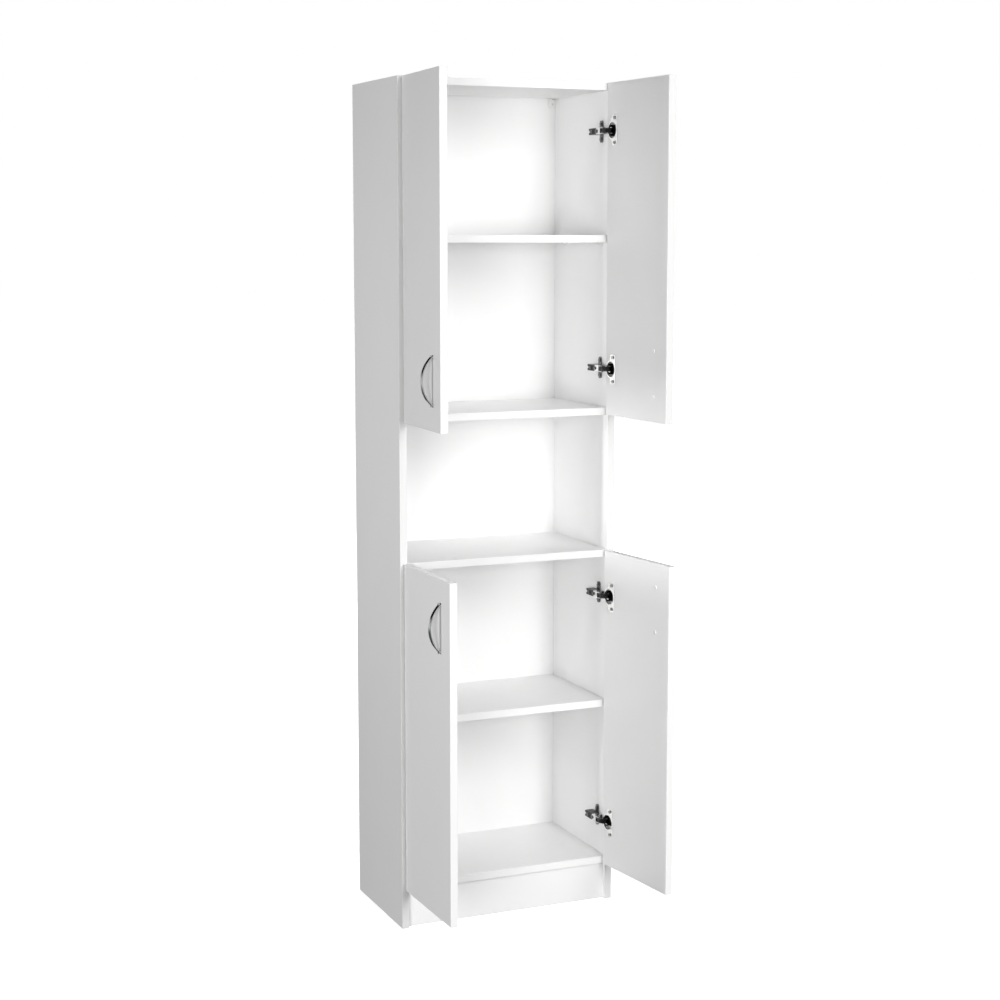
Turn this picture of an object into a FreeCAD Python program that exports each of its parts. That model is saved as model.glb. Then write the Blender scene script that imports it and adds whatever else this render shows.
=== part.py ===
import FreeCAD, Part
import math
import os
import re
import Sketcher
from FreeCAD import Placement, Rotation, Vector

doc = FreeCAD.newDocument("tall_cabinet")
dims = doc.addObject("Spreadsheet::Sheet", "Dims")

# Driving sizes of the cabinet in millimetres, angles in degrees
SIZES = [
    ("overall_width", 500),
    ("overall_height", 1800),
    ("side_depth", 277),
    ("board", 16),
    ("back_board", 3),
    ("back_inset", 1),
    ("nail_diameter", 1.4),
    ("nail_length", 16),
    ("nail_head", 3.6),
    ("nail_head_height", 0.7),
    ("nail_sink", 0.15),
    ("nail_end", 45),
    ("kick_height", 84),
    ("kick_recess", 10),
    ("niche_height", 296),
    ("upper_shelf_rise", 356),
    ("lower_shelf_rise", 341),
    ("shelf_inset", 2),
    ("shelf_side_gap", 0.75),
    ("edge_round", 0.6),
    # Doors
    ("door_board", 16),
    ("door_gap", 2.5),
    ("door_reveal", 1),
    ("door_centre_gap", 3),
    ("door_round", 0.8),
    ("upper_left_open_angle", 93.8),
    ("upper_right_open_angle", 93.4),
    ("lower_left_open_angle", 89.3),
    ("lower_right_open_angle", 96.5),
    # Concealed hinges
    ("hinge_end", 100),
    ("cup_diameter", 35),
    ("cup_depth", 11.5),
    ("cup_wall", 0.9),
    ("cup_tab", 3.5),
    ("cup_fit", 0.1),
    ("cup_rim", 1.5),
    ("flange_height", 64),
    ("flange_reach", 20),
    ("flange_back", 3),
    ("flange_corner", 7),
    ("flange_thick", 1.2),
    ("cup_screw_pitch", 52),
    ("cup_screw_offset", 9.5),
    ("cup_screw_diameter", 3.5),
    ("cup_screw_length", 10),
    ("cup_screw_head", 7),
    ("link_swing_ratio", 0.48),
    ("arm_pivot_in", 17.2),
    ("arm_pivot_front", 2.9),
    ("cup_pivot_edge", 12.7),
    ("cup_pivot_depth", 2.65),
    ("link_bow", 5),
    ("link_width", 4.2),
    ("link_inside", 6.4),
    ("link_thick", 1.6),
    ("link_web", 1.2),
    ("pin_diameter", 2.2),
    ("pin_clearance", 0.05),
    ("layer_gap", 0.4),
    ("arm_thick", 1.6),
    ("arm_nose", 6),
    ("arm_length", 58),
    ("arm_roof_start", 5),
    ("arm_slot", 4.6),
    ("plate_setback", 37),
    ("plate_pitch", 32),
    ("plate_wing", 47),
    ("plate_wing_width", 13),
    ("plate_thick", 3),
    ("plate_front", 14),
    ("plate_screw_diameter", 5),
    ("plate_screw_length", 11),
    ("plate_screw_head", 8),
    ("screw_head_height", 1.8),
    ("screw_clearance", 0.1),
    ("drive_slot", 0.9),
    ("drive_depth", 1.2),
    ("arm_round", 1),
    ("adjust_screw_diameter", 4.2),
    ("adjust_screw_front", 22),
    ("adjust_screw_rear", 44),
    ("adjust_screw_head", 7.4),
    ("adjust_screw_depth", 6),
    # Bow handles
    ("handle_end", 100),
    ("handle_edge", 50),
    ("handle_pitch", 96),
    ("handle_reach", 25),
    ("handle_half_chord", 50.5),
    ("handle_width", 9),
    ("handle_thick", 4),
    ("handle_post", 8),
    ("handle_post_height", 4.5),
    ("handle_screw_diameter", 4),
    ("handle_screw_grip", 3.5),
    ("handle_screw_head", 8.5),
    # Shelf pins
    ("pin_front_setback", 37),
    ("pin_rear_setback", 60),
    ("shelf_pin_diameter", 5),
    ("shelf_pin_depth", 9),
    ("shelf_pin_ledge", 9),
    ("shelf_pin_thick", 4),
    ("shelf_pin_wide", 8),
    # Carcass fittings
    ("cam_setback", 50),
    ("dowel_setback", 90),
    ("dowel_diameter", 8),
    ("dowel_length", 30),
    ("dowel_in_side", 10),
    ("fit_clearance", 0.1),
    ("cam_diameter", 15),
    ("cam_height", 12.5),
    ("cam_centre", 24),
    ("cam_bolt_diameter", 6),
    ("cam_bolt_in_side", 11),
    ("cam_slot", 7),
    ("kick_dowel_low", 25),
    ("kick_dowel_high", 59),
    # Wall fixing
    ("bracket_width", 18),
    ("bracket_leg", 22),
    ("bracket_thick", 2),
    ("bracket_from_side", 0.5),
    ("bracket_hole", 5),
    ("bracket_hole_drop", 13),
    ("bracket_screw_diameter", 4),
    ("bracket_screw_length", 12),
    ("bracket_screw_head", 8),
]
for row, (alias, number) in enumerate(SIZES, start=1):
    dims.set(f"A{row}", alias)
    dims.set(f"B{row}", str(number))
    dims.setAlias(f"B{row}", alias)
doc.recompute()
NAMES = {alias for alias, _ in SIZES}

# Sizes that several pieces share, written in terms of the driving sizes
SHARED = {
    "inner_width": "(overall_width - 2 * board)",
    "section_height": "((overall_height - kick_height - niche_height) / 2)",
    "front_y": "(0 - kick_recess - board / 2)",
    "rear_y": "(front_y + side_depth)",
    "door_height": "(section_height - 2 * door_reveal)",
    "door_width": "((overall_width - 2 * door_reveal - door_centre_gap) / 2)",
    "hinge_z": "(door_height / 2 - hinge_end)",
    "cup_x": "(door_reveal + cup_tab + cup_diameter / 2)",
    "arm_pivot_x": "(board + arm_pivot_in)",
    "cup_pivot_x": "(door_reveal + cup_pivot_edge)",
    "cup_pivot_y": "(0 - door_gap - cup_pivot_depth)",
    "link_half": "(link_inside / 2 + link_thick)",
    "lug_inside": "(link_half + layer_gap)",
    "arm_top": "(arm_pivot_x + arm_nose / 2 + arm_thick)",
    "link_span": "sqrt((arm_pivot_x - cup_pivot_x) ^ 2 + (arm_pivot_front + cup_pivot_y) ^ 2)",
    "link_radius": "((link_span ^ 2 / 4 + link_bow ^ 2) / (2 * link_bow))",
    "link_rise": "((link_radius - link_bow) / link_span)",
    "link_bend_x": "((arm_pivot_x + cup_pivot_x) / 2 + link_rise * (cup_pivot_y + arm_pivot_front))",
    "link_bend_y": "((cup_pivot_y - arm_pivot_front) / 2 + link_rise * (arm_pivot_x - cup_pivot_x))",
    "handle_x": "(door_reveal + door_width - handle_edge)",
    "handle_z": "(door_height / 2 - handle_end)",
    "handle_sagitta": "(handle_reach - handle_thick / 2 + 1)",
    "handle_radius": "((handle_half_chord ^ 2 + handle_sagitta ^ 2) / (2 * handle_sagitta))",
    "shelf_depth": "(side_depth - shelf_inset)",
}


def ex(text):
    """Write a formula in the sheet's names."""
    text = str(text)
    while True:
        wider = re.sub(r"[a-z_]{4,}", lambda m: SHARED.get(m.group(), m.group()), text)
        if wider == text:
            break
        text = wider
    return re.sub(r"[a-z_]{4,}", lambda m: "Dims." + m.group() if m.group() in NAMES else m.group(), text)


def val(text):
    return float(dims.evalExpression(ex(text)))


def new_body(name):
    return doc.addObject("PartDesign::Body", name)


def sketch_on(body, role, lift="0"):
    plane = next(f for f in body.Origin.OriginFeatures if f.Role == role)
    sketch = body.newObject("Sketcher::SketchObject", body.Name + "_sketch")
    sketch.AttachmentSupport = [(plane, "")]
    sketch.MapMode = "FlatFace"
    sketch.setExpression("AttachmentOffset.Base.z", ex(lift))
    return sketch


def bind(sketch, kind, refs, formula):
    index = sketch.addConstraint(Sketcher.Constraint(kind, *refs, val(formula)))
    sketch.setExpression(f"Constraints[{index}]", ex(formula))


def polygon(sketch, corners):
    """A closed outline with every corner held by its own two sizes."""
    points = [Vector(val(x), val(y), 0) for x, y in corners]
    count = len(points)
    lines = []
    for i in range(count):
        lines.append(sketch.addGeometry(Part.LineSegment(points[i], points[(i + 1) % count])))
    for i in range(count):
        sketch.addConstraint(Sketcher.Constraint("Coincident", lines[i], 2, lines[(i + 1) % count], 1))
    for line, (x, y) in zip(lines, corners):
        bind(sketch, "DistanceX", (-1, 1, line, 1), x)
        bind(sketch, "DistanceY", (-1, 1, line, 1), y)


def rectangle(sketch, x, y, wide, high):
    polygon(
        sketch,
        [(x, y), (f"{x} + {wide}", y), (f"{x} + {wide}", f"{y} + {high}"), (x, f"{y} + {high}")],
    )


def circle(sketch, x, y, diameter):
    ring = sketch.addGeometry(Part.Circle(Vector(val(x), val(y), 0), Vector(0, 0, 1), val(diameter) / 2))
    bind(sketch, "DistanceX", (-1, 1, ring, 3), x)
    bind(sketch, "DistanceY", (-1, 1, ring, 3), y)
    bind(sketch, "Diameter", (ring,), diameter)


def pad(body, sketch, length, reverse=False):
    feature = body.newObject("PartDesign::Pad", body.Name + "_pad")
    feature.Profile = sketch
    feature.setExpression("Length", ex(length))
    feature.Reversed = reverse
    doc.recompute()
    return feature


def pocket(body, sketch, depth, reverse=False):
    """Cut a sketch into the body, and make sure that it took material away."""
    before = body.Shape.Volume
    feature = body.newObject("PartDesign::Pocket", body.Name + "_pocket")
    feature.Profile = sketch
    feature.setExpression("Length", ex(depth))
    feature.Reversed = reverse
    doc.recompute()
    if body.Shape.Volume >= before - 1e-6:
        raise ValueError(f"a pocket of {body.Name} cuts nothing")
    return feature


def drill(body, role, lift, holes, depth, reverse=False):
    """Sink round holes, given as x, y and diameter on one plane."""
    sketch = sketch_on(body, role, lift)
    for x, y, diameter in holes:
        circle(sketch, x, y, diameter)
    return pocket(body, sketch, depth, reverse)


def fillet(body, base, radius, choose):
    feature = body.newObject("PartDesign::Fillet", body.Name + "_fillet")
    names = [f"Edge{i}" for i, edge in enumerate(base.Shape.Edges, start=1) if choose(edge)]
    feature.Base = (base, names)
    feature.setExpression("Radius", ex(radius))
    doc.recompute()
    return feature


def along(edge, axis):
    """Is this a straight edge that runs along the given axis?"""
    if not isinstance(edge.Curve, Part.Line):
        return False
    return abs(edge.tangentAt(edge.FirstParameter).dot(axis)) > 0.999


X_AXIS = Vector(1, 0, 0)
Y_AXIS = Vector(0, 1, 0)
Z_AXIS = Vector(0, 0, 1)
nodes = []


def cross_recess(body, role, lift, x, y, head, reverse):
    """The cross in a screw head, two thirds as wide as the head."""
    arm = f"{head} / 3"
    half = "drive_slot / 2"
    signs = [("-", "+"), ("+", "+"), ("+", "-"), ("-", "-")]
    corners = []
    for i, (across, up) in enumerate(signs):
        tall = (f"{x} {across} {half}", f"{y} {up} {arm}")
        notch = (f"{x} {across} {half}", f"{y} {up} {half}")
        wide = (f"{x} {across} {arm}", f"{y} {up} {half}")
        corners += [wide, notch, tall] if i % 2 == 0 else [tall, notch, wide]
    sketch = sketch_on(body, role, lift)
    polygon(sketch, corners)
    pocket(body, sketch, "drive_depth", reverse)


def ease_front(body, slab, axis):
    """Take the sharp corner off a board's two long front edges."""
    front = min(edge.CenterOfMass.y for edge in slab.Shape.Edges)
    return fillet(body, slab, "edge_round", lambda e: along(e, axis) and abs(e.CenterOfMass.y - front) < 1e-6)


def keep(thing, label, placement=None):
    """Make a document object one of the named sub-parts."""
    thing.Label = label
    if placement is not None:
        thing.Placement = placement
    nodes.append(thing)
    return thing


def copies(label, master, placements):
    """A node of identical pieces, each a linked copy of one modelled piece."""
    links = []
    for i, placement in enumerate(placements, start=1):
        link = doc.addObject("App::Link", f"{label}_{i}")
        link.LinkedObject = master
        link.LinkTransform = False
        link.Placement = placement
        links.append(link)
    group = doc.addObject("Part::Compound", label)
    group.Links = links
    return keep(group, label)


def shift(x=0.0, y=0.0, z=0.0):
    return Placement(Vector(x, y, z), Rotation())


def turn(axis, angle):
    return Placement(Vector(), Rotation(axis, angle))


# Levels of the four fixed boards, as the height of each underside
BOARD_LEVELS = {
    "top_panel": "overall_height - board",
    "upper_floor_panel": "overall_height - section_height",
    "niche_floor_panel": "kick_height + section_height - board",
    "bottom_panel": "kick_height",
}
SHELF_LEVELS = {
    "upper_shelf": "overall_height - section_height + board + upper_shelf_rise",
    "lower_shelf": "kick_height + board + lower_shelf_rise",
}
SECTION_MIDDLES = {
    "upper": "overall_height - section_height / 2",
    "lower": "kick_height + section_height / 2",
}
CAM_ROWS = ["front_y + cam_setback", "rear_y - cam_setback"]
DOWEL_ROWS = ["front_y + dowel_setback", "rear_y - dowel_setback"]
SHELF_PIN_ROWS = ["front_y + pin_front_setback", "rear_y - pin_rear_setback"]
KICK_DOWELS = ["kick_dowel_low", "kick_dowel_high"]
HINGE_SIDES = ["0 + ", "0 - "]

# The back's nails: a row up each side and three across each fixed board
NAILS_UP = 7
NAIL_RISE = f"(overall_height - kick_height - 2 * nail_end) / {NAILS_UP - 1}"
NAIL_HEIGHTS = [f"kick_height + nail_end + {i} * {NAIL_RISE}" for i in range(NAILS_UP)]
NAIL_STEPS = ["0 - inner_width / 4", "0", "inner_width / 4"]
NAIL_HOLE = "nail_diameter + fit_clearance"
NAIL_DEPTH = "nail_sink + nail_head_height + nail_length - back_board + fit_clearance"

BRACKET_X = "(inner_width / 2 - bracket_from_side - bracket_width / 2)"
BRACKET_HOLE_Z = "(overall_height - board - bracket_hole_drop)"

# Side panels, drawn on their inner faces and bored there for every fitting


def side_panel(label, x, outward):
    body = new_body(label)
    sketch = sketch_on(body, "YZ_Plane")
    rectangle(sketch, "front_y", "0", "side_depth", "overall_height")
    slab = pad(body, sketch, "board", reverse=not outward)
    ease_front(body, slab, Z_AXIS)
    bolts = []
    dowels = []
    for level in BOARD_LEVELS.values():
        for row in CAM_ROWS:
            bolts.append((row, f"{level} + board / 2", "cam_bolt_diameter + fit_clearance"))
        for row in DOWEL_ROWS:
            dowels.append((row, f"{level} + board / 2", "dowel_diameter + fit_clearance"))
    for height in KICK_DOWELS:
        dowels.append(("0", height, "dowel_diameter + fit_clearance"))
    pins = []
    for level in SHELF_LEVELS.values():
        for row in SHELF_PIN_ROWS:
            pins.append((row, f"{level} - shelf_pin_diameter / 2", "shelf_pin_diameter + fit_clearance"))
    plates = []
    for middle in SECTION_MIDDLES.values():
        for hinge in HINGE_SIDES:
            for screw in HINGE_SIDES:
                height = f"{middle} + ({hinge} hinge_z) + ({screw} plate_pitch / 2)"
                plates.append(("front_y + plate_setback", height, "plate_screw_diameter + screw_clearance"))
    drill(body, "YZ_Plane", "0", bolts, "cam_bolt_in_side + fit_clearance", reverse=outward)
    drill(body, "YZ_Plane", "0", dowels, "dowel_in_side + fit_clearance", reverse=outward)
    drill(body, "YZ_Plane", "0", pins, "shelf_pin_depth + fit_clearance", reverse=outward)
    drill(body, "YZ_Plane", "0", plates, "plate_screw_length + screw_clearance", reverse=outward)
    across = "board / 2" if outward else "0 - board / 2"
    nails = [(across, height, NAIL_HOLE) for height in NAIL_HEIGHTS]
    drill(body, "XZ_Plane", "0 - rear_y", nails, NAIL_DEPTH, reverse=True)
    return keep(body, label, shift(x=x))


side_panel("left_side_panel", -val("inner_width / 2"), False)
side_panel("right_side_panel", val("inner_width / 2"), True)

# Fixed boards between the sides, bored in both ends for dowels and cam bolts
ENDS = [("0 - inner_width / 2", False), ("inner_width / 2", True)]


def fixed_board(label, level, cams_above):
    body = new_body(label)
    sketch = sketch_on(body, "XY_Plane")
    rectangle(sketch, "0 - inner_width / 2", "front_y", "inner_width", "side_depth")
    slab = pad(body, sketch, "board")
    ease_front(body, slab, X_AXIS)
    for end, far in ENDS:
        bolts = [(row, "board / 2", "cam_bolt_diameter + fit_clearance") for row in CAM_ROWS]
        dowels = [(row, "board / 2", "dowel_diameter + fit_clearance") for row in DOWEL_ROWS]
        drill(body, "YZ_Plane", end, bolts, "cam_centre", reverse=not far)
        drill(body, "YZ_Plane", end, dowels, "dowel_length - dowel_in_side + fit_clearance", reverse=not far)
    cams = []
    for side in HINGE_SIDES:
        for row in CAM_ROWS:
            cams.append((f"{side} (inner_width / 2 - cam_centre)", row, "cam_diameter + fit_clearance"))
    drill(body, "XY_Plane", "board" if cams_above else "0", cams, "cam_height", reverse=not cams_above)
    nails = [(step, "board / 2", NAIL_HOLE) for step in NAIL_STEPS]
    drill(body, "XZ_Plane", "0 - rear_y", nails, NAIL_DEPTH, reverse=True)
    return keep(body, label, shift(z=val(level)))


for name, level in BOARD_LEVELS.items():
    fixed_board(name, level, name == "top_panel")

# The top is also bored from below for the wall brackets' screws
top_panel = next(node for node in nodes if node.Label == "top_panel")
SCREW_HOLE = "bracket_screw_diameter + screw_clearance"
bracket_holes = [(f"{side} {BRACKET_X}", "rear_y - bracket_hole_drop", SCREW_HOLE) for side in HINGE_SIDES]
drill(top_panel, "XY_Plane", "0", bracket_holes, "bracket_screw_length", reverse=True)

# Loose shelves, which rest on their pins
for name, level in SHELF_LEVELS.items():
    shelf = new_body(name)
    outline = sketch_on(shelf, "XY_Plane")
    rectangle(
        outline,
        "0 - inner_width / 2 + shelf_side_gap",
        "front_y + shelf_inset",
        "inner_width - 2 * shelf_side_gap",
        "shelf_depth",
    )
    slab = pad(shelf, outline, "board")
    ease_front(shelf, slab, X_AXIS)
    keep(shelf, name, shift(z=val(level)))

# Kickboard, set back between the sides, with the origin under its middle
kick = new_body("kickboard")
outline = sketch_on(kick, "XY_Plane")
rectangle(outline, "0 - inner_width / 2", "0 - board / 2", "inner_width", "board")
pad(kick, outline, "kick_height")
for end, far in ENDS:
    holes = [("0", height, "dowel_diameter + fit_clearance") for height in KICK_DOWELS]
    drill(kick, "YZ_Plane", end, holes, "dowel_length - dowel_in_side + fit_clearance", reverse=not far)
keep(kick, "kickboard")

# Thin back, nailed to the rear edges and bored for the wall screws
back = new_body("back_panel")
outline = sketch_on(back, "XZ_Plane", "0 - rear_y")
rectangle(
    outline,
    "0 - overall_width / 2 + back_inset",
    "kick_height",
    "overall_width - 2 * back_inset",
    "overall_height - kick_height - back_inset",
)
pad(back, outline, "back_board", reverse=True)
wall_holes = [(f"{side} {BRACKET_X}", BRACKET_HOLE_Z, "bracket_hole") for side in HINGE_SIDES]
drill(back, "XZ_Plane", "0 - rear_y", wall_holes, "back_board")
nail_spots = []
for side in HINGE_SIDES:
    nail_spots += [(f"{side} (overall_width - board) / 2", height) for height in NAIL_HEIGHTS]
for level in BOARD_LEVELS.values():
    nail_spots += [(step, f"{level} + board / 2") for step in NAIL_STEPS]
shank_holes = [(x, z, NAIL_HOLE) for x, z in nail_spots]
head_seats = [(x, z, "nail_head + fit_clearance") for x, z in nail_spots]
drill(back, "XZ_Plane", "0 - rear_y", shank_holes, "back_board")
drill(back, "XZ_Plane", "0 - rear_y - back_board", head_seats, "nail_sink + nail_head_height", reverse=True)
keep(back, "back_panel")

# Nails of the back, their heads driven just below its surface
nail = new_body("nail_master")
outline = sketch_on(nail, "XZ_Plane", "nail_sink")
circle(outline, "0", "0", "nail_head")
pad(nail, outline, "nail_head_height")
outline = sketch_on(nail, "XZ_Plane", "nail_sink + nail_head_height")
circle(outline, "0", "0", "nail_diameter")
pad(nail, outline, "nail_length")
nail_places = [shift(val(x), val("rear_y + back_board"), val(z)) for x, z in nail_spots]
copies("back_nails", nail, nail_places)

# Dowels, cam bolts and cam discs of the fixed boards
dowel = new_body("dowel_master")
outline = sketch_on(dowel, "YZ_Plane", "0 - dowel_in_side")
circle(outline, "0", "0", "dowel_diameter")
pad(dowel, outline, "dowel_length")

cam_bolt = new_body("cam_bolt_master")
outline = sketch_on(cam_bolt, "YZ_Plane", "0 - cam_bolt_in_side")
circle(outline, "0", "0", "cam_bolt_diameter")
pad(cam_bolt, outline, "cam_bolt_in_side + cam_centre - cam_diameter / 2 - fit_clearance")

cam = new_body("cam_master")
outline = sketch_on(cam, "XY_Plane")
circle(outline, "0", "0", "cam_diameter")
pad(cam, outline, "cam_height - fit_clearance")
slot = sketch_on(cam, "XY_Plane")
rectangle(slot, "0 - cam_slot / 2", "0 - cam_slot / 8", "cam_slot", "cam_slot / 4")
pocket(cam, slot, "cam_height / 6", reverse=True)

FLIP = turn(Z_AXIS, 180)
UPSIDE_DOWN = turn(X_AXIS, 180)
end_x = val("inner_width / 2")
dowel_places = []
bolt_places = []
cam_places = []
for name, level in BOARD_LEVELS.items():
    height = val(f"{level} + board / 2")
    for side, face in ((-1, Placement()), (1, FLIP)):
        for row in DOWEL_ROWS:
            dowel_places.append(shift(side * end_x, val(row), height) * face)
        for row in CAM_ROWS:
            bolt_places.append(shift(side * end_x, val(row), height) * face)
            above = name == "top_panel"
            cam_z = val(f"{level} + board") if above else val(level)
            seat = UPSIDE_DOWN if above else Placement()
            cam_places.append(shift(side * (end_x - val("cam_centre")), val(row), cam_z) * face * seat)
for side, face in ((-1, Placement()), (1, FLIP)):
    for height in KICK_DOWELS:
        dowel_places.append(shift(side * end_x, 0, val(height)) * face)
copies("dowels", dowel, dowel_places)
copies("cam_bolts", cam_bolt, bolt_places)
copies("cam_locks", cam, cam_places)

# Shelf pins: a peg in the side and a ledge under the shelf
pin = new_body("shelf_pin_master")
outline = sketch_on(pin, "YZ_Plane", "0 - shelf_pin_depth")
circle(outline, "0", "0 - shelf_pin_diameter / 2", "shelf_pin_diameter")
pad(pin, outline, "shelf_pin_depth")
outline = sketch_on(pin, "XZ_Plane", "0 - shelf_pin_wide / 2")
polygon(
    outline,
    [
        ("0", "0"),
        ("shelf_pin_ledge", "0"),
        ("shelf_pin_ledge", "0 - shelf_pin_thick / 2"),
        ("shelf_pin_thick / 2", "0 - shelf_pin_diameter - shelf_pin_thick / 2"),
        ("0", "0 - shelf_pin_diameter - shelf_pin_thick / 2"),
    ],
)
pad(pin, outline, "shelf_pin_wide")
pin_places = []
for level in SHELF_LEVELS.values():
    for row in SHELF_PIN_ROWS:
        for side, face in ((-1, Placement()), (1, FLIP)):
            pin_places.append(shift(side * end_x, val(row), val(level)) * face)
copies("shelf_pins", pin, pin_places)

# Wall brackets in the top rear corners, with a screw up into the top
bracket = new_body("bracket_master")
outline = sketch_on(bracket, "YZ_Plane", "0 - bracket_width / 2")
polygon(
    outline,
    [
        ("0", "0"),
        ("0", "0 - bracket_leg"),
        ("0 - bracket_thick", "0 - bracket_leg"),
        ("0 - bracket_thick", "0 - bracket_thick"),
        ("0 - bracket_leg", "0 - bracket_thick"),
        ("0 - bracket_leg", "0"),
    ],
)
base = pad(bracket, outline, "bracket_width")
tips = fillet(
    bracket,
    base,
    "bracket_width / 4",
    lambda e: (along(e, Z_AXIS) or along(e, Y_AXIS)) and abs(e.Length - val("bracket_thick")) < 1e-6,
)
WALL_HOLE = ("0", "0 - bracket_hole_drop", "bracket_hole")
drill(bracket, "XZ_Plane", "0", [WALL_HOLE], "bracket_thick", reverse=True)
drill(bracket, "XY_Plane", "0", [("0", "0 - bracket_hole_drop", SCREW_HOLE)], "bracket_thick")
bracket_places = []
for side in (-1, 1):
    bracket_places.append(shift(side * val(BRACKET_X), val("rear_y"), val("overall_height - board")))
copies("wall_brackets", bracket, bracket_places)

screw = new_body("bracket_screw_master")
outline = sketch_on(screw, "XY_Plane", "0 - bracket_thick - screw_head_height")
circle(outline, "0", "0 - bracket_hole_drop", "bracket_screw_head")
pad(screw, outline, "screw_head_height")
outline = sketch_on(screw, "XY_Plane", "0 - bracket_thick")
circle(outline, "0", "0 - bracket_hole_drop", "bracket_screw_diameter")
pad(screw, outline, "bracket_screw_length")
SCREW_CROWN = "0 - bracket_thick - screw_head_height"
cross_recess(screw, "XY_Plane", SCREW_CROWN, "0", "0 - bracket_hole_drop", "bracket_screw_head", True)
copies("bracket_screws", screw, bracket_places)

# The pieces of one hinge share a frame: x inwards from the side's outer face,
# y back from the carcass front, z from the hinge's own middle, door closed

# Hinge cup: a rimmed cup with a screw flange and a pair of pivot lugs
cup = new_body("hinge_cup_master")
outline = sketch_on(cup, "XZ_Plane", "door_gap")
circle(outline, "cup_x", "0", "cup_diameter")
pad(cup, outline, "cup_depth")
outline = sketch_on(cup, "XZ_Plane", "door_gap")
rectangle(
    outline,
    "cup_x - flange_back",
    "0 - flange_height / 2",
    "flange_back + flange_reach",
    "flange_height",
)
ears = pad(cup, outline, "flange_thick", reverse=True)
fillet(
    cup,
    ears,
    "flange_corner",
    lambda e: along(e, Y_AXIS) and abs(e.Length - val("flange_thick")) < 1e-6,
)
outline = sketch_on(cup, "XZ_Plane", "door_gap")
circle(outline, "cup_x", "0", "cup_diameter + 2 * cup_rim")
pad(cup, outline, "flange_thick", reverse=True)
drill(
    cup,
    "XZ_Plane",
    "door_gap - flange_thick",
    [("cup_x", "0", "cup_diameter - 2 * cup_wall")],
    "flange_thick + cup_depth - cup_wall",
    reverse=True,
)
ear_holes = []
for side in HINGE_SIDES:
    ear_holes.append(
        ("cup_x + cup_screw_offset", f"{side} cup_screw_pitch / 2", "cup_screw_diameter + screw_clearance")
    )
drill(cup, "XZ_Plane", "door_gap - flange_thick", ear_holes, "flange_thick", reverse=True)
for lift in ("lug_inside", "0 - lug_inside - arm_thick"):
    outline = sketch_on(cup, "XY_Plane", lift)
    rectangle(
        outline,
        "cup_pivot_x - link_width * 0.7",
        "0 - door_gap - cup_depth + cup_wall / 2",
        "link_width * 1.4",
        "cup_depth - cup_wall",
    )
    pad(cup, outline, "arm_thick")
PIN_HOLE = "pin_diameter + 2 * pin_clearance"
drill(
    cup,
    "XY_Plane",
    "0 - lug_inside - arm_thick",
    [("cup_pivot_x", "cup_pivot_y", PIN_HOLE)],
    "2 * lug_inside + 2 * arm_thick",
    reverse=True,
)

# Hinge link: a curved channel, two cheeks joined by a web along the outer bend
link = new_body("hinge_link_master")
outline = sketch_on(link, "XY_Plane", "0 - link_half")
bend = Vector(val("link_bend_x"), val("link_bend_y"), 0)
arm_end = Vector(val("arm_pivot_x"), -val("arm_pivot_front"), 0)
cup_end = Vector(val("cup_pivot_x"), val("cup_pivot_y"), 0)
half = val("link_width / 2")
first = math.atan2(cup_end.y - bend.y, cup_end.x - bend.x)
last = math.atan2(arm_end.y - bend.y, arm_end.x - bend.x)


def arc(centre, radius, start, stop):
    return Part.ArcOfCircle(Part.Circle(centre, Z_AXIS, radius), start, stop)


outer = outline.addGeometry(arc(bend, val("link_radius") + half, first, last))
arm_cap = outline.addGeometry(arc(arm_end, half, last, last + math.pi))
inner = outline.addGeometry(arc(bend, val("link_radius") - half, first, last))
cup_cap = outline.addGeometry(arc(cup_end, half, first + math.pi, first + 2 * math.pi))
outline.addConstraint(Sketcher.Constraint("Coincident", outer, 3, inner, 3))
for joint in ((outer, 2, arm_cap, 1), (arm_cap, 2, inner, 2), (inner, 1, cup_cap, 1), (cup_cap, 2, outer, 1)):
    outline.addConstraint(Sketcher.Constraint("Tangent", *joint))
bind(outline, "DistanceX", (-1, 1, arm_cap, 3), "arm_pivot_x")
bind(outline, "DistanceY", (-1, 1, arm_cap, 3), "0 - arm_pivot_front")
bind(outline, "DistanceX", (-1, 1, cup_cap, 3), "cup_pivot_x")
bind(outline, "DistanceY", (-1, 1, cup_cap, 3), "cup_pivot_y")
bind(outline, "Radius", (arm_cap,), "link_width / 2")
bind(outline, "Radius", (outer,), "link_radius + link_width / 2")
pad(link, outline, "2 * link_half")
drill(
    link,
    "XY_Plane",
    "0 - link_inside / 2",
    [("link_bend_x", "link_bend_y", "2 * link_radius + link_width - 2 * link_web")],
    "link_inside",
    reverse=True,
)
PIVOTS = [("arm_pivot_x", "0 - arm_pivot_front", PIN_HOLE), ("cup_pivot_x", "cup_pivot_y", PIN_HOLE)]
drill(link, "XY_Plane", "0 - link_half", PIVOTS, "2 * link_half", reverse=True)

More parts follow.
